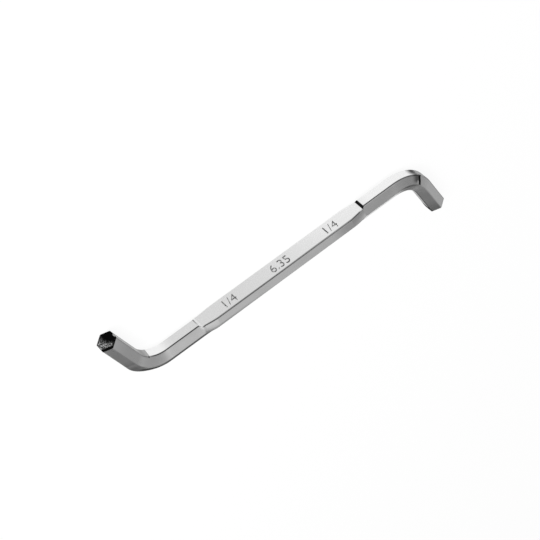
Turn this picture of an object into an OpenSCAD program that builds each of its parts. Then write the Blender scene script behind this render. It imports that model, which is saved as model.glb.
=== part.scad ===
// Garbage disposal wrench: one length of hexagonal steel bar, bent at both ends and pressed flat in the middle.
// The wrench lies on its side. X runs along the bar, the pressed panel faces -Y, and the table is at Z = 0.

/* [Bar] */
// Size across the flats of the hexagonal bar, which is the size of socket that it turns
across_flats = 6.35; // [4:0.05:12]
// Width by which each long corner of the bar is broken, measured along a flat
corner_break = 0.15; // [0.05:0.05:0.8]
// Length of the middle stretch, between the points where the three centre lines cross
bar_length = 113.7; // [100:0.1:250]

/* [Bends] */
// Length of each end arm, from where its centre line crosses the bar's to its tip
arm_length = 23.8; // [16:0.1:80]
// Angle that each arm is turned away from the bar's line
bend_angle = 70; // [20:1:95]
// Radius on the inside of each bend
bend_radius = 9.5; // [3:0.1:14]
// How much smaller across the flats the drive ends are than the bar, so that they slide into their socket
tip_ease = 0.02; // [0.01:0.01:0.1]

/* [Pressed panel] */
// Length of the panel, between the edges where the bar's plain flat stops
panel_length = 70; // [30:0.5:90]
// Depth of the panel below the bar's flat, along its middle
panel_depth = 1.0; // [0.9:0.05:1.6]
// Depth of the step at each end of the panel
step_depth = 0.8; // [0.2:0.05:0.85]
// Length of the sloping step at each end of the panel
step_length = 0.65; // [0.2:0.05:3]
// Length over which the panel goes from its step to its full depth and width
blend_length = 5.5; // [2:0.5:12]
// Metal pushed out past each long edge of the panel by the press, along its middle
panel_spread = 0.54; // [0:0.02:1]
// Metal pushed out past each long edge at the foot of the step
step_spread = 0.2; // [0.04:0.02:0.4]
// How far the press drives each side corner towards the back of the bar
side_drop = 1.0; // [0.1:0.05:1.2]

/* [Hidden] */

// Number of slices in each end blend of the panel
blend_slices = 4;
// How far inside the bar the pushed-out metal starts, so that it grows out of the bar's sides
bury = 0.1;
// Room past the bar for the cut that makes the panel
cut_room = 1;
// How far each drive end runs back into its bend
let_in = 0.2;

// The hexagon has a flat towards -Y and one towards +Y, and a corner at the top and the bottom
half_flats = across_flats / 2;
half_side = half_flats * tan(30);
corner_reach = half_flats / cos(30);

// The bend's centre line, and how much of each straight it takes up
bend_line_radius = bend_radius + half_flats;
bend_take = bend_line_radius * tan(bend_angle / 2);
straight_half = bar_length / 2 - bend_take;
panel_half = panel_length / 2;

function unit(v) = v / norm(v);

// An outline with every corner cut back by the corner break along both of its sides
function broken(corners) =
    let (count = len(corners))
    [
        for (i = [0 : count - 1])
            let (here = corners[i], before = corners[(i + count - 1) % count], after = corners[(i + 1) % count])
            each [here + corner_break * unit(before - here), here + corner_break * unit(after - here)]
    ];

// A six-sided section as [y, z], from the half widths and heights of its front, side and back corners
function six_sided(front_y, front_side, side_y, side_reach, back_y, back_side) = broken([
    [front_y, -front_side], [side_y, -side_reach], [back_y, -back_side],
    [back_y, back_side], [side_y, side_reach], [front_y, front_side]
]);

// The bar's own section, a hexagon of a size across its flats
function plain_section(flats) =
    let (half = flats / 2)
    six_sided(-half, half * tan(30), 0, half / cos(30), half, half * tan(30));

// Depth of the panel at a share of the blend, from 0 at the foot of the step to 1 along the middle
function depth_at(share) = step_depth + (panel_depth - step_depth) * share;

// The section of the pushed-out sides at a share of the blend, before the panel is cut across its front:
// each side runs from the side corner through the panel's edge and on to the front
function pushed_section(share) =
    let (
        depth = depth_at(share),
        edge = half_side + depth * tan(30) + step_spread + (panel_spread - step_spread) * share,
        reach = corner_reach - bury,
        drop = side_drop * share,
        lean = (reach - edge) / (half_flats - depth + drop)
    )
    six_sided(-half_flats, edge - lean * depth, drop, reach, half_flats - bury, half_side - bury);

// The bar's centre line is as high as the section that reaches lowest
function lowest(section) = min([for (point = section) point.y]);
axis_height = -min(lowest(plain_section(across_flats)), lowest(pushed_section(1)));

// The blend at one end of the panel, as [x, share] from the foot of the step inwards
blend = [
    for (i = [0 : blend_slices])
        let (t = i / blend_slices)
        [-panel_half + step_length + blend_length * t, sin(90 * t)]
];
// A list in its reverse order, with every x mirrored
function mirrored(list) = [for (i = [len(list) - 1 : -1 : 0]) [-list[i][0], list[i][1]]];
blends = concat(blend, mirrored(blend));

// A straight length of plain bar along X, from the section at X = 0
module plain_bar(length, flats = across_flats) {
    rotate([90, 0, 90]) linear_extrude(length) polygon(plain_section(flats));
}

// Half of the bar, from its middle to the tip of the arm that points to -Y
module half_bar() {
    arm_start = 90 - bend_angle;
    plain_bar(straight_half);
    translate([straight_half, -bend_line_radius, 0]) {
        rotate_extrude(angle = bend_angle, start = arm_start, $fn = 96)
            translate([bend_line_radius, 0]) polygon(plain_section(across_flats));
        rotate([0, 0, arm_start]) translate([bend_line_radius, let_in, 0]) rotate([0, 0, -90])
            plain_bar(let_in + arm_length - bend_take, across_flats - tip_ease);
    }
}

// The metal that the press pushes out past the bar's sides, as one solid through its slices
module pushed_sides() {
    count = len(pushed_section(1));
    last = len(blends) - 1;
    points = [for (slice = blends) each [for (p = pushed_section(slice[1])) [slice[0], p.x, p.y]]];
    first_cap = [[for (i = [0 : count - 1]) i]];
    last_cap = [[for (i = [count - 1 : -1 : 0]) last * count + i]];
    sides = [
        for (s = [0 : last - 1], i = [0 : count - 1])
            let (j = (i + 1) % count, a = s * count, b = a + count)
            each [[a + i, b + i, b + j], [a + i, b + j, a + j]]
    ];
    polyhedron(points = points, faces = concat(first_cap, last_cap, sides));
}

// The space that the press leaves above the panel, with a sloping step at each end
module panel_cut() {
    floor_line = [for (slice = blends) [slice[0], -half_flats + depth_at(slice[1])]];
    front = -half_flats - cut_room;
    outline = concat(
        [[-panel_half, front], [-panel_half, -half_flats]],
        floor_line,
        [[panel_half, -half_flats], [panel_half, front]]);
    linear_extrude(2 * (corner_reach + cut_room), center = true) polygon(outline);
}

// The whole wrench, bent from one bar: its two halves are the same, turned half round
module hex_bar() {
    color([0.78, 0.78, 0.77]) translate([0, 0, axis_height]) difference() {
        union() {
            for (turn = [0, 180]) rotate([0, 0, turn]) half_bar();
            pushed_sides();
        }
        panel_cut();
    }
}

hex_bar();
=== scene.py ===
import math

import bmesh
import bpy
from mathutils import Matrix, Vector


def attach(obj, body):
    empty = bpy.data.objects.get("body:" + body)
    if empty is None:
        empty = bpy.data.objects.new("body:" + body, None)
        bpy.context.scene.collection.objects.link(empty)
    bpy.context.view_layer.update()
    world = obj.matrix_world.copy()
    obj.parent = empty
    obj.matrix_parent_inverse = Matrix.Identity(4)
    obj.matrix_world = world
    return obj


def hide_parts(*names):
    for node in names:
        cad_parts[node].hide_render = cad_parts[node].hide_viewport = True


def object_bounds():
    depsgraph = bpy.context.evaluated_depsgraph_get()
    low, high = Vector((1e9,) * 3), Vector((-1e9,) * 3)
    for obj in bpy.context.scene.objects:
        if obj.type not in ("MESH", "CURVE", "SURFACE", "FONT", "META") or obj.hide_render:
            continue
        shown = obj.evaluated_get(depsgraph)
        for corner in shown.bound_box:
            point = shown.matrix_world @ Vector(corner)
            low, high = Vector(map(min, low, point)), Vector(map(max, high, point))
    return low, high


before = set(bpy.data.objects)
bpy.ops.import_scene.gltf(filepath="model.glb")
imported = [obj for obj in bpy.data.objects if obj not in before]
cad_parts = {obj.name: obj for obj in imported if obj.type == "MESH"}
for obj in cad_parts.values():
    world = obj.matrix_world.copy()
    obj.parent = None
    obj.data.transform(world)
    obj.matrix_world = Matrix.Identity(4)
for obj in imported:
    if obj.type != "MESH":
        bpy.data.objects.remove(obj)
cad_low, cad_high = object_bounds()
bpy.context.scene.view_settings.view_transform = "Standard"

# Camera
# The photograph shows the wrench from its panel's side and a little above. The wrench lies on its side here,
# so the camera is rolled well over to see it at the photograph's slant.
axis_height = (cad_low.z + cad_high.z) / 2
camera_aim = Vector((0.0040, -0.0026, axis_height))
camera_distance = 0.5988
camera_azimuth = math.radians(19.21)
camera_elevation = math.radians(35.27)
camera_roll = math.radians(132.5)
focal_length_in_pixels = 1810.5
picture_side_in_pixels = 540
sensor_width_in_mm = 36

towards_camera = Vector((
    math.sin(camera_azimuth) * math.cos(camera_elevation),
    -math.cos(camera_azimuth) * math.cos(camera_elevation),
    math.sin(camera_elevation),
))
camera_data = bpy.data.cameras.new("camera")
camera_data.sensor_width = sensor_width_in_mm
camera_data.lens = sensor_width_in_mm * focal_length_in_pixels / picture_side_in_pixels
camera = bpy.data.objects.new("camera", camera_data)
camera.matrix_world = (
    Matrix.Translation(camera_aim + towards_camera * camera_distance)
    @ towards_camera.to_track_quat("Z", "Y").to_matrix().to_4x4()
    @ Matrix.Rotation(camera_roll, 4, "Z")
)
bpy.context.scene.collection.objects.link(camera)
bpy.context.scene.camera = camera

# Wrench bar
# One length of hexagonal steel bar. Its middle is pressed into a flat panel, its ends are bent over cold to
# opposite sides, and the whole is plated bright before both ends are sheared off. Left and right are named as
# the photograph shows them.
bar_sizes = {
    "Across Flats": 0.00635,
    "Corner Radius": 0.0004,
    "Half Length": 0.05685,
    "Left Arm Length": 0.0245,
    "Right Arm Length": 0.0234,
    "Left Bend Angle": math.radians(70),
    "Right Bend Angle": math.radians(71.2),
    "Bend Radius": 0.0095,
    "Left Bend Shift": 0.0002,
    "Right Bend Shift": -0.00014,
    "Bend Squeeze": 0.00016,
    "Bend Keystone": 0.05,
    "Panel Length": 0.070,
    "Panel Depth": 0.0010,
    "Step Depth": 0.0008,
    "Left Step Length": 0.00105,
    "Right Step Length": 0.0007,
    "Blend Length": 0.0055,
    "Panel Spread": 0.00068,
    "Left Step Spread": 0.0002,
    "Left Toe": 0.0002,
    "Side Drop": 0.0012,
    "Press Tilt": 3.0,
    "Axis Height": axis_height,
    "Rim Radius": 0.0003,
    "Tear Depth": 0.00025,
    "Ring Gap": 0.000175,
    "Cap Run": 0.0027,
}
# Mesh points on each rounded corner and on each flat of the hexagon
arc_steps = 6
flat_steps = 6
# Shares of the cap: how much of it is the rounded rim, and where the plating stops
rim_part = 0.25
cut_starts = 0.02
# Size of the crumbs in the torn part of a cut face, and how ragged its border is
tear_grain = 0.0007
tear_ragged = 0.8
# How tightly the metal at the foot of a step keeps to the panel's edge
edge_sharpness = 8.0
weld_distance = 0.000001
sixth_turn = math.radians(60)
twelfth_turn = math.radians(30)
quarter_turn = math.radians(90)


class Wire:
    """One socket of a node tree. Sums on it add Math nodes, and node() adds any other node."""

    def __init__(self, tree, socket=None):
        self.tree = tree
        self.socket = socket

    def node(self, kind, settings=None, inputs=None, output=0):
        made = self.tree.nodes.new(kind)
        for name, value in (settings or {}).items():
            setattr(made, name, value)
        for key, value in (inputs or {}).items():
            if isinstance(value, Wire):
                value.feed(made.inputs[key])
            else:
                made.inputs[key].default_value = value
        return Wire(self.tree, made.outputs[output])

    def feed(self, socket):
        self.tree.links.new(self.socket, socket)

    def math(self, operation, *others):
        return self.node("ShaderNodeMath", {"operation": operation}, dict(enumerate((self, *others))))

    def most(self, *others):
        largest = self
        for other in others:
            largest = largest.math("MAXIMUM", other)
        return largest

    def held(self, low=0.0, high=1.0):
        return self.node("ShaderNodeClamp", {}, {"Value": self, "Min": low, "Max": high})

    def ramp(self, low, high):
        """0 at low and 1 at high, with a smooth rise between them."""
        settings = {"interpolation_type": "SMOOTHSTEP"}
        return self.node("ShaderNodeMapRange", settings, {0: self, 1: low, 2: high})

    def band(self, start, full, fading, end):
        """0 before start, 1 from full to fading, and 0 again past end."""
        return self.ramp(start, full) * self.ramp(end, fading)

    def xyz(self, x=0.0, y=0.0, z=0.0):
        return self.node("ShaderNodeCombineXYZ", {}, {"X": x, "Y": y, "Z": z})

    def parts(self):
        split = self.node("ShaderNodeSeparateXYZ", {}, {"Vector": self}).socket.node
        return [Wire(self.tree, socket) for socket in split.outputs]

    def noise(self, stretch, detail=2.0, roughness=0.5):
        settings = {"operation": "MULTIPLY"}
        stretched = self.node("ShaderNodeVectorMath", settings, {0: self, 1: stretch})
        inputs = {"Vector": stretched, "Scale": 1.0, "Detail": detail, "Roughness": roughness}
        return self.node("ShaderNodeTexNoise", {}, inputs)

    def mixed(self, start, end):
        settings = {"data_type": "RGBA"}
        return self.node("ShaderNodeMix", settings, {0: self, 6: start, 7: end}, 2)

    def __add__(self, other):
        return self.math("ADD", other)

    def __radd__(self, other):
        return self.math("ADD", other)

    def __sub__(self, other):
        return self.math("SUBTRACT", other)

    def __rsub__(self, other):
        return self.math("MULTIPLY_ADD", -1.0, other)

    def __mul__(self, other):
        return self.math("MULTIPLY", other)

    def __rmul__(self, other):
        return self.math("MULTIPLY", other)

    def __truediv__(self, other):
        return self.math("DIVIDE", other)

    def __neg__(self):
        return self.math("MULTIPLY", -1.0)

    def __abs__(self):
        return self.math("ABSOLUTE")


def stored(geometry, name, value, data_type="FLOAT"):
    """The geometry with a value kept on each of its points."""
    inputs = {"Geometry": geometry, "Name": name, "Value": value}
    return geometry.node("GeometryNodeStoreNamedAttribute", {"data_type": data_type}, inputs)


bar_tree = bpy.data.node_groups.new("wrench_bar", "GeometryNodeTree")
for name in bar_sizes:
    bar_tree.interface.new_socket(name, in_out="INPUT", socket_type="NodeSocketFloat")
for name in ("Plating", "Cut Steel"):
    bar_tree.interface.new_socket(name, in_out="INPUT", socket_type="NodeSocketMaterial")
bar_tree.interface.new_socket("Wrench Bar", in_out="OUTPUT", socket_type="NodeSocketGeometry")
bar_inputs = bar_tree.nodes.new("NodeGroupInput")
size = {socket.name: Wire(bar_tree, socket) for socket in bar_inputs.outputs if socket.name}
nodes = Wire(bar_tree)

half_flats = size["Across Flats"] / 2
half_side = half_flats * math.tan(twelfth_turn)
corner_reach = half_flats / math.cos(twelfth_turn)
bend_line = size["Bend Radius"] + half_flats
bend_take = bend_line * (size["Left Bend Angle"] / 2).math("TANGENT")
left_run = size["Half Length"] + bend_line * size["Left Bend Angle"] + size["Left Arm Length"]
longest_run = left_run - 2 * bend_take
rings_each_way = ((longest_run + size["Cap Run"]) / size["Ring Gap"]).math("CEIL")
reach = rings_each_way * size["Ring Gap"]

# The bar before it is bent: a straight line with a ring of section points at every step
line = nodes.node("GeometryNodeCurvePrimitiveLine", {}, {"Start": nodes.xyz(-reach), "End": nodes.xyz(reach)})
line = nodes.node("GeometryNodeResampleCurve", {}, {"Curve": line, "Count": rings_each_way * 2 + 1})
line_place = nodes.node("GeometryNodeInputPosition").parts()[0]
line = stored(line, "along", line_place)

# The hexagon with its rounded corners, as distances to the front and upwards
points_per_corner = arc_steps + flat_steps
point = nodes.node("GeometryNodeInputIndex")
corner = (point / points_per_corner).math("FLOOR")
step = point - corner * points_per_corner
arc_share = (step / arc_steps).held()
flat_share = 0.5 - (((step - arc_steps) / flat_steps).held() * math.pi).math("COSINE") * 0.5
round_centre = (half_flats - size["Corner Radius"]) / math.cos(twelfth_turn)
corner_turn = corner * sixth_turn
arc_turn = corner_turn + (arc_share - 0.5) * sixth_turn
flat_turn = corner_turn + 2 * sixth_turn
section_front, section_up = (
    round_centre * corner_turn.math(wave)
    + size["Corner Radius"] * arc_turn.math(wave)
    + flat_share * round_centre * flat_turn.math(wave)
    for wave in ("SINE", "COSINE")
)
outline = nodes.node(
    "GeometryNodeCurvePrimitiveCircle", {}, {"Resolution": 6 * points_per_corner, "Radius": corner_reach})
outline = stored(outline, "section", nodes.xyz(section_front, section_up), "FLOAT_VECTOR")
bar = nodes.node("GeometryNodeCurveToMesh", {}, {"Curve": line, "Profile Curve": outline})

along = nodes.node("GeometryNodeInputNamedAttribute", {}, {"Name": "along"})
section = nodes.node("GeometryNodeInputNamedAttribute", {"data_type": "FLOAT_VECTOR"}, {"Name": "section"})
front, up, _ = section.parts()
side = along.math("SIGN")
far = abs(along)
on_left = along.math("GREATER_THAN", 0.0)
arm_length, bend_angle, bend_shift, step_length = (
    size["Right " + name] + (size["Left " + name] - size["Right " + name]) * on_left
    for name in ("Arm Length", "Bend Angle", "Bend Shift", "Step Length")
)

# Each sheared end: a rounded rim, then a face that is torn towards one corner. The places on it are shares of
# the way to its rim, said as at the left end, and the right end is the same, turned half round.
straight_half = size["Half Length"] - bend_take
bend_run = bend_line * bend_angle
half_run = straight_half + bend_run + arm_length - bend_take
rim_start = half_run - size["Rim Radius"]
cap = ((far - rim_start) / (reach - rim_start)).held()
rim_turn = (cap / rim_part).held() * quarter_turn
face_share = ((cap - rim_part) / (1 - rim_part)).held()
rim_shrink = 1 - size["Rim Radius"] * (1 - rim_turn.math("COSINE")) / half_flats
shrink = rim_shrink * (1 - face_share)
front = front * shrink
up = up * shrink
height = front / half_flats
tear_place = nodes.xyz(front, up, side * half_flats)
tear_noise = tear_place.noise((1 / tear_grain,) * 3, 3.0)
to_front = side * height
to_top = up / half_flats
to_back_flat = to_top * math.cos(twelfth_turn) - to_front * math.sin(twelfth_turn)
to_back_corner = to_top * math.sin(twelfth_turn) - to_front * math.cos(twelfth_turn)
to_front_rim = to_front.most(to_front * math.sin(twelfth_turn) + abs(to_top) * math.cos(twelfth_turn))
torn = ((tear_noise - 0.5) * tear_ragged + to_back_corner).ramp(-0.1, 0.35)
torn = torn * to_front_rim.ramp(0.97, 0.86) * to_back_flat.ramp(0.76, 0.64)
tear = torn * face_share.ramp(0.0, 0.15) * (0.3 + tear_noise)
run = (
    far.math("MINIMUM", rim_start)
    + size["Rim Radius"] * rim_turn.math("SINE")
    - size["Tear Depth"] * tear
)

# The pressed panel: its floor is sunk, and the metal goes out past the long edges and the side corners
inside = size["Panel Length"] / 2 - far
step_share = inside / step_length
stepped = step_share.held()
widened = ((inside - step_length) / size["Blend Length"]).held()
blended = (widened * quarter_turn).math("SINE")
depth = size["Step Depth"] * stepped + (size["Panel Depth"] - size["Step Depth"]) * blended
toe = step_share.band(0.4, 1.0, 1.1, 1.9) * on_left
foot_spread = size["Left Step Spread"] * on_left
edge_out = depth * math.tan(twelfth_turn) + size["Panel Spread"] * widened
foot_out = foot_spread * (stepped - widened) + size["Left Toe"] * toe
near_front = height.most(0.0)
near_edge = near_front.math("POWER", edge_sharpness)
near_side = 1 - abs(height)
plain_width = corner_reach - abs(height) * (corner_reach - half_side)
side_drop = size["Side Drop"] * (1 + size["Press Tilt"] * along) * blended
pressed_front = front - depth * near_front - side_drop * near_side
pressed_up = up * (1 + (edge_out * near_front + foot_out * near_edge) / plain_width)

# The bends: the bar is squeezed thinner and shifted a little, and its inside swells sideways
turn = ((run - straight_half) / bend_line).held(0.0, bend_angle)
arm = (run - straight_half - bend_run).most(0.0)
swell = (turn / bend_angle * math.pi).math("SINE")
swell = swell * swell
inward = side * height
bent_front = pressed_front + side * swell * (bend_shift - size["Bend Squeeze"] * inward)
bent_up = pressed_up * (1 + size["Bend Keystone"] * swell * inward)
centre_x = (
    run.math("MINIMUM", straight_half)
    + bend_line * turn.math("SINE")
    + arm * bend_angle.math("COSINE")
)
centre_y = bend_line * (1 - turn.math("COSINE")) + arm * bend_angle.math("SINE")
bent_place = nodes.xyz(
    side * centre_x - bent_front * turn.math("SINE"),
    -(side * centre_y) - bent_front * turn.math("COSINE"),
    size["Axis Height"] + bent_up,
)

bar = stored(bar, "bar_place", nodes.xyz(along, front, up), "FLOAT_VECTOR")
bar = stored(bar, "cap", cap)
bar = stored(bar, "torn", torn)
bar = nodes.node("GeometryNodeSetPosition", {}, {"Geometry": bar, "Position": bent_place})
bar = nodes.node("GeometryNodeMergeByDistance", {}, {"Geometry": bar, "Distance": weld_distance})
bar = nodes.node("GeometryNodeSetShadeSmooth", {}, {"Geometry": bar})
bar = nodes.node("GeometryNodeRealizeInstances", {}, {"Geometry": bar})
bar = nodes.node("GeometryNodeSetMaterial", {}, {"Geometry": bar, "Material": size["Plating"]})
is_cut = nodes.node("GeometryNodeInputNamedAttribute", {}, {"Name": "cap"}).math("GREATER_THAN", cut_starts)
bar = nodes.node(
    "GeometryNodeSetMaterial", {}, {"Geometry": bar, "Selection": is_cut, "Material": size["Cut Steel"]})
bar.feed(bar_tree.nodes.new("NodeGroupOutput").inputs[0])


def grey(level):
    return (level, level, level, 1)


def new_finish(name):
    """A new material, its shader and a wire in its node tree."""
    finish = bpy.data.materials.new(name)
    finish.use_nodes = True
    return finish, finish.node_tree.nodes["Principled BSDF"], Wire(finish.node_tree)


# Greys of the plating. Their differences along the bar are painted light and shade, and the lightest is a
# painted highlight.
plate_highlight_paint = grey(0.89)
plate_painted_light = grey(0.88)
plate_lit_paint = grey(0.76)
plate_shade_paint = grey(0.64)
panel_lit_paint = grey(0.83)
panel_shade_paint = grey(0.68)
# The next four greys are painted shade.
painted_shade_grey = grey(0.16)
crest_shade_grey = grey(0.42)
film_shade_grey = grey(0.08)
shade_black = grey(0.006)
panel_end = bar_sizes["Panel Length"] / 2
plating, shader, paint = new_finish("bright_plating")

# Places on the bar before it was bent: along from its middle to the left, to the front and upwards, and how
# far they are past each end of the panel and past the front edge
place = paint.node("ShaderNodeAttribute", {"attribute_name": "bar_place"}, {}, "Vector")
along, front, up = place.parts()
past_left = along - panel_end
past_right = -along - panel_end
past_edge = up - front * math.tan(twelfth_turn)
on_front = front.ramp(0.0027, 0.0031)
on_top = up.ramp(0.0004, 0.0010)
on_panel = abs(along).ramp(panel_end, panel_end - 0.0005)
clouds = place.noise((120, 300, 300), 3.0)
drawn_lines = place.noise((90, 9000, 9000), 2.0)
cross_grain = place.noise((7000, 250, 250), 2.0)

# Painted light and shade in the plating's colour: lighter along the middle and darker to the right, with a
# painted highlight on the front flat past the panel and on the slope of the left step
lit_paint_left = along.ramp(-0.010, 0.030)
lit_paint_right_bend = along.ramp(-0.0450, -0.0510)
shade_paint_left_arm = along.band(0.0600, 0.0640, 0.0690, 0.0800)
light_paint_middle = along.band(-0.0270, -0.0180, 0.0320, 0.0380)
light_paint_left_bend = along.band(0.0460, 0.0500, 0.0600, 0.0640)
lit_paint_panel_right = along.ramp(0.020, -0.034)
highlight_paint_slope = 0.5 * past_left.band(-0.0012, -0.0009, -0.0004, -0.0002)
highlight_paint_ends = past_right.ramp(-0.0005, 0.0035).most(past_left.ramp(0.009, 0.016), highlight_paint_slope)
level = lit_paint_left.mixed(plate_shade_paint, plate_lit_paint)
level = lit_paint_right_bend.mixed(level, plate_lit_paint)
level = shade_paint_left_arm.mixed(level, plate_shade_paint)
light_paint_patches = (light_paint_middle + light_paint_left_bend) * (0.7 + 0.6 * clouds)
level = light_paint_patches.held().mixed(level, plate_painted_light)
level = on_front.mixed(level, lit_paint_panel_right.mixed(panel_shade_paint, panel_lit_paint))
level = (highlight_paint_ends * on_front).mixed(level, plate_highlight_paint)

# The front flat is painted grey as shade past a faint crease inside the left bend, and past the crest of the
# right one, where a painted shadow runs down beside the nick
crease_line = 0.0572 + 0.2 * up
off_edge = 0.65 + 0.35 * past_edge.ramp(0.0, -0.0004)
past_crease = (along - crease_line).ramp(-0.0003, 0.0004) * on_front * off_edge
past_crease = past_crease * (0.7 + 0.25 * along.ramp(0.0575, 0.0610))
crest_line = -0.0558 + 0.1 * up
past_crest = 0.9 * along.ramp(-0.0565, -0.0600) * on_front
crest_shade_paint = (crest_line - along).ramp(-0.0004, 0.0006) * along.ramp(-0.0625, -0.0590) * on_front
shade_smear = 0.95 * along.band(-0.0546, -0.0570, -0.0580, -0.0586) * past_edge.ramp(0.0, 0.0004)
shade_smear = shade_smear * front.ramp(0.0002, 0.0016)
level = shade_smear.most(past_crease, past_crest).mixed(level, painted_shade_grey)
level = crest_shade_paint.mixed(level, crest_shade_grey)

# Painted shade lies as a dark matt film behind the top corner, thick on the bar and both bends and thin on
# the arms, and a little of it in front of that corner on the bar and on the back of the right arm
near_top = up.ramp(0.0010, 0.0018)
behind_top = front.ramp(0.0003, -0.0003) * near_top
well_behind = front.ramp(-0.0003, -0.0016)
left_arm_start = along.ramp(0.0580, 0.0600)
bar_shade_film = behind_top * along.band(0.0080, 0.0360, 0.0540, 0.0580)
bar_shade_film = bar_shade_film * (0.95 - 0.6 * along.ramp(0.0480, 0.0540) * (1 - well_behind))
corner_shade_film = 0.32 + 0.18 * along.ramp(0.0575, 0.0600)
left_shade_film = corner_shade_film + (0.94 - 0.29 * left_arm_start - corner_shade_film) * well_behind
left_shade_film = left_shade_film * behind_top * along.band(0.0510, 0.0550, 0.0610, 0.0650)
right_shade_film = 0.6 * front.ramp(0.0006, 0.0) * near_top * along.band(-0.0470, -0.0535, -0.0535, -0.0610)
shade_film = bar_shade_film.most(left_shade_film, right_shade_film)
arm_shade_film = (
    0.4 * along.band(0.0460, 0.0520, 0.0615, 0.0690)
    + 0.15 * along.ramp(-0.0620, -0.0660)
    + 0.30 * along.ramp(-0.0700, -0.0780)
)
low_shade_film = 0.4 * front.ramp(0.0010, 0.0003) * near_top * along.band(0.0030, 0.0300, 0.0330, 0.0360)
back_shade_film = front.ramp(-0.0027, -0.0031) * up.ramp(-0.0022, -0.0002)
back_shade_film = 0.9 * back_shade_film * along.ramp(-0.0520, -0.0560)
# Even a thin film of painted shade hides the colour of the metal, so the colour goes sooner than the shine
unshaded = (1 - shade_film) * (1 - shade_film)
shade_film_share = (behind_top * arm_shade_film).most(low_shade_film, back_shade_film, 1 - unshaded * unshaded)
level = shade_film_share.mixed(level, film_shade_grey)

# A dark line of painted shade lies along the rounded front edge, but for the ends of the panel and the arms.
# It is darkest at the crest, and is painted in the left step, along the crease and low on the left bend too.
at_notch = past_left.band(-0.0013, -0.0009, -0.0002, 0.0001)
at_foot = past_right.band(-0.0025, -0.0015, -0.0004, 0.0)
edge_share = 0.8 + 0.1 * along.ramp(0.0340, 0.0360) - 0.15 * along.band(-0.0310, -0.0250, 0.0270, 0.0310)
edge_line = 0.00008 * on_panel * along.ramp(-0.015, 0.005) - 0.00012
front_edge_shade = abs(past_edge - edge_line).ramp(0.00034, 0.00014) * on_top * edge_share
front_edge_shade = front_edge_shade * (1 - 0.8 * at_notch) * (1 - 0.6 * at_foot)
front_edge_shade = front_edge_shade * along.ramp(-0.0595, -0.0575) * (0.15 + 0.85 * along.ramp(0.0590, 0.0545))
crest_edge_shade = 0.92 * abs(past_edge).ramp(0.00055, 0.0002) * on_top
crest_edge_shade = crest_edge_shade * along.band(-0.0520, -0.0565, -0.0584, -0.0592)
left_step_shade = 0.7 * past_left.band(-0.0003, -0.0001, 0.0001, 0.0003) * on_front * up.ramp(0.0018, -0.0016)
low_shade_line = 0.7 * front.band(-0.0004, -0.0018, -0.0020, -0.0030) * near_top
low_shade_line = low_shade_line * along.band(0.0500, 0.0550, 0.0570, 0.0610)
crease_shade = 0.45 * abs(along - crease_line).ramp(0.0003, 0.0001) * on_front
crease_shade_spot = paint.node(
    "ShaderNodeVectorMath", {"operation": "DISTANCE"}, {0: place, 1: (0.0578, 0.00305, 0.0019)}, "Value")
crease_shade_spot = 0.8 * crease_shade_spot.ramp(0.0006, 0.0002)

# Black painted shade fills the right step of the panel, a blotch on the crest of the right bend, a nick below
# it, and the back of the right end; the nick's bright lip is a painted highlight
right_step_shade = past_right.band(-0.00075, -0.00068, 0.00008, 0.00015) * on_front
nick_line = -0.0584 + 0.0004 * front.ramp(0.0010, 0.0032)
nick_shade = abs(along - nick_line).ramp(0.00075, 0.00035) * past_edge.ramp(0.0, 0.0004) * front.ramp(0.0, 0.0004)
nick_highlight = abs(along - nick_line - 0.0009).ramp(0.0004, 0.0001) * on_top
nick_highlight = nick_highlight * front.band(0.0004, 0.0008, 0.0012, 0.0018)
blotch_shade = (crest_line - along).band(-0.0020, 0.0004, 0.0011, 0.0026) * on_front
blotch_shade = blotch_shade * (0.4 + 0.4 * up.ramp(0.0018, -0.0004))
end_shade_line = -0.0780 + 0.0036 * front.ramp(-0.0024, -0.0032)
end_shade = 0.9 * (end_shade_line - along).ramp(-0.0004, 0.0004) * front.ramp(0.0, -0.0006)
level = nick_highlight.mixed(level, plate_highlight_paint)
painted_black = right_step_shade.most(nick_shade, blotch_shade, end_shade)

# The painted shade darkens the colour, and where it is a film or black it also takes away the metal's shine.
painted_dark = painted_black.most(front_edge_shade, crest_edge_shade, low_shade_line, left_step_shade, crease_shade, crease_shade_spot)
painted_shade_matt = painted_black.most(shade_film, 0.6 * crest_shade_paint)
grain = {"Strength": 0.15, "Distance": 0.00002, "Height": 0.5 * drawn_lines + 0.5 * cross_grain}
painted_dark.mixed(level, shade_black).feed(shader.inputs["Base Color"])
(1 - painted_shade_matt).feed(shader.inputs["Metallic"])
(0.2 + 0.12 * clouds + 0.08 * cross_grain).feed(shader.inputs["Roughness"])
paint.node("ShaderNodeBump", {}, grain).feed(shader.inputs["Normal"])
shader.inputs["Specular IOR Level"].default_value = 0.0

# The cut face is black with oil where it is smooth and grey where it is torn, half torn to one side, and its
# rim has one light chip
cut_dark = grey(0.002)
cut_torn = grey(0.38)
chip_grey = grey(0.45)
cut_steel, shader, paint = new_finish("sheared_steel")
place = paint.node("ShaderNodeAttribute", {"attribute_name": "bar_place"}, {}, "Vector")
torn = paint.node("ShaderNodeAttribute", {"attribute_name": "torn"}, {}, "Fac")
_, front, up = place.parts()
crumbs = place.noise((0, 2400, 2400), 4.0, 0.7)
half_torn = 0.3 * up.ramp(0.0010, -0.0010) * front.ramp(0.0002, -0.0008)
rim_chip = front.ramp(0.0028, 0.0031) * abs(up - 0.0006).ramp(0.0007, 0.0003)
bright = torn.most(half_torn) * crumbs.ramp(0.46, 0.62)
rough_face = {"Strength": 0.4, "Distance": 0.00005, "Height": crumbs * torn}
rim_chip.mixed(bright.mixed(cut_dark, cut_torn), chip_grey).feed(shader.inputs["Base Color"])
(0.45 + 0.3 * torn).feed(shader.inputs["Roughness"])
paint.node("ShaderNodeBump", {}, rough_face).feed(shader.inputs["Normal"])
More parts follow.
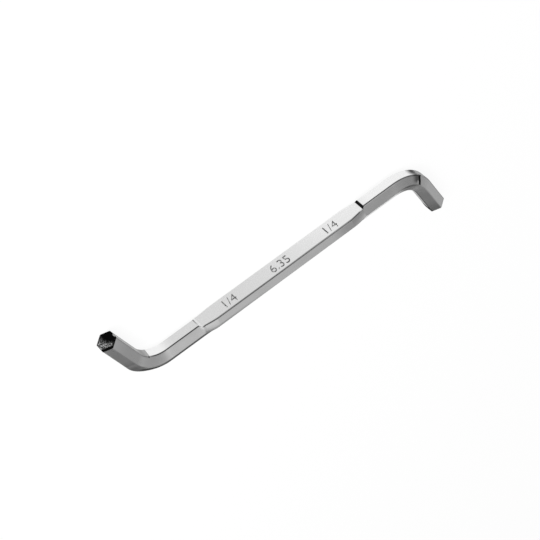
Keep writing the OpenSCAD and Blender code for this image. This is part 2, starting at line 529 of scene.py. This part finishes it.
shader.inputs["Specular IOR Level"].default_value = 0.0

wrench_bar = bpy.data.objects.new("wrench_bar", bpy.data.meshes.new("wrench_bar"))
bpy.context.scene.collection.objects.link(wrench_bar)
sweep = wrench_bar.modifiers.new("sweep", "NODES")
sweep.node_group = bar_tree
bar_values = {**bar_sizes, "Plating": plating, "Cut Steel": cut_steel}
for socket in bar_tree.interface.items_tree:
    if socket.in_out == "INPUT":
        sweep[socket.identifier] = bar_values[socket.name]
evaluated = wrench_bar.evaluated_get(bpy.context.evaluated_depsgraph_get())
wrench_bar.data = bpy.data.meshes.new_from_object(evaluated)
wrench_bar.modifiers.remove(sweep)
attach(wrench_bar, "root")
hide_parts("hex_bar")

# Size numbers
# The size of the hexagon in inches and in millimetres, raised on the panel by the press that flattens it. The
# strokes are thin, and their dark grey is painted shade on the raised strokes.
number_words = (("1/4", 0.0215), ("6.35", 0.0), ("1/4", -0.0215))
number_height = 0.0032
number_raise = 0.00012
number_seat = 0.00005
stroke_thinning = -0.012
stroke_curve_steps = 6
stroke_weld = 0.000002
panel_floor = bar_sizes["Panel Depth"] - bar_sizes["Across Flats"] / 2
numbers_mesh = bmesh.new()
for words, centre in number_words:
    number_curve = bpy.data.curves.new("number", "FONT")
    number_curve.body = words
    number_curve.align_x = "CENTER"
    number_curve.align_y = "CENTER"
    number_curve.offset = stroke_thinning
    number_curve.resolution_u = stroke_curve_steps
    number_object = bpy.data.objects.new("number", number_curve)
    bpy.context.scene.collection.objects.link(number_object)
    flat = bpy.data.meshes.new_from_object(number_object)
    bpy.data.objects.remove(number_object)
    flat_low = min(vertex.co.y for vertex in flat.vertices)
    flat_high = max(vertex.co.y for vertex in flat.vertices)
    grow = number_height / (flat_high - flat_low)
    on_the_panel = Matrix((
        (-grow, 0, 0, centre),
        (0, 0, -grow, panel_floor),
        (0, -grow, 0, axis_height),
        (0, 0, 0, 1),
    ))
    flat.transform(on_the_panel @ Matrix.Translation((0, -(flat_low + flat_high) / 2, 0)))
    numbers_mesh.from_mesh(flat)
bmesh.ops.remove_doubles(numbers_mesh, verts=numbers_mesh.verts, dist=stroke_weld)
bmesh.ops.beautify_fill(numbers_mesh, faces=numbers_mesh.faces, edges=numbers_mesh.edges)
raised = bmesh.ops.extrude_face_region(numbers_mesh, geom=numbers_mesh.faces[:])
top_points = {part for part in raised["geom"] if isinstance(part, bmesh.types.BMVert)}
for point in numbers_mesh.verts:
    point.co.y += -number_raise if point in top_points else number_seat
bmesh.ops.recalc_face_normals(numbers_mesh, faces=numbers_mesh.faces)
size_numbers_mesh = bpy.data.meshes.new("size_numbers")
numbers_mesh.to_mesh(size_numbers_mesh)
numbers_mesh.free()
size_numbers = bpy.data.objects.new("size_numbers", size_numbers_mesh)
bpy.context.scene.collection.objects.link(size_numbers)

# The strokes' greys are painted shade.
stroke_shade_pale = grey(0.24)
stroke_shade_deep = grey(0.10)
stroke_plating, shader, paint = new_finish("stroke_plating")
stroke_place = paint.node("ShaderNodeTexCoord", {}, {}, "Object")
stroke_shade_mottle = stroke_place.noise((160, 400, 400), 2.0).ramp(0.4, 0.6)
stroke_shade_mottle.mixed(stroke_shade_pale, stroke_shade_deep).feed(shader.inputs["Base Color"])
(0.3 + 0.15 * stroke_shade_mottle).feed(shader.inputs["Roughness"])
shader.inputs["Metallic"].default_value = 1.0
size_numbers_mesh.materials.append(stroke_plating)
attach(size_numbers, "root")

# Floor
# A plain white sheet under the wrench. It shows pure white to the camera and in the metal, and keeps a faint
# shadow where the bar lies on it.
floor_side = 6.0
sheet_white = grey(0.9)
glow_white = grey(1.0)
glow_share = 0.92
floor_mesh = bpy.data.meshes.new("floor")
floor_corners = [
    (x * floor_side / 2, y * floor_side / 2, 0.0) for x, y in ((-1, -1), (1, -1), (1, 1), (-1, 1))
]
floor_mesh.from_pydata(floor_corners, [], [(0, 1, 2, 3)])
floor = bpy.data.objects.new("floor", floor_mesh)
bpy.context.scene.collection.objects.link(floor)
white_sheet, _, paint = new_finish("white_sheet")
light_path = paint.node("ShaderNodeLightPath").socket.node.outputs
by_camera, in_gloss, through_glass = (
    Wire(paint.tree, light_path[name]) for name in ("Is Camera Ray", "Is Glossy Ray", "Is Transmission Ray")
)
seen = (by_camera + in_gloss + through_glass).held() * glow_share
paper = paint.node("ShaderNodeBsdfDiffuse", {}, {"Color": sheet_white})
glow = paint.node("ShaderNodeEmission", {}, {"Color": glow_white, "Strength": 1.0})
sheet = paint.node("ShaderNodeMixShader", {}, {0: seen, 1: paper, 2: glow})
sheet.feed(paint.tree.nodes["Material Output"].inputs["Surface"])
floor_mesh.materials.append(white_sheet)

# Studio light
# A soft room round the table, dark low down at the front and grey overhead, and one large soft box at the
# side. The room's light is set by the direction that it comes from.
front_dark = 0.05
back_gain = 0.125
right_back_gain = 0.255
overhead_right = 0.31
overhead_left_gain = 0.38
soft_box_side = 0.6
soft_box_watts = 11.0
soft_box_place = Vector((0.50, -0.45, 0.60))
world = bpy.data.worlds.new("studio")
bpy.context.scene.world = world
world.use_nodes = True
paint = Wire(world.node_tree)
leftward, backward, upward = paint.node("ShaderNodeTexCoord", {}, {}, "Generated").parts()
low_level = (
    front_dark
    + back_gain * backward.ramp(-0.6, 0.6)
    + right_back_gain * leftward.ramp(0.1, -0.8) * backward.ramp(-0.3, 0.5)
)
high_level = overhead_right + overhead_left_gain * leftward.ramp(-0.42, -0.05)
room = low_level + (high_level - low_level) * upward.ramp(0.35, 0.85)
room.feed(world.node_tree.nodes["Background"].inputs["Color"])

soft_box = bpy.data.lights.new("soft_box", "AREA")
soft_box.shape = "RECTANGLE"
soft_box.size = soft_box_side
soft_box.size_y = soft_box_side
soft_box.energy = soft_box_watts
soft_box_lamp = bpy.data.objects.new("soft_box", soft_box)
soft_box_lamp.matrix_world = (
    Matrix.Translation(soft_box_place) @ soft_box_place.to_track_quat("Z", "Y").to_matrix().to_4x4()
)
bpy.context.scene.collection.objects.link(soft_box_lamp)
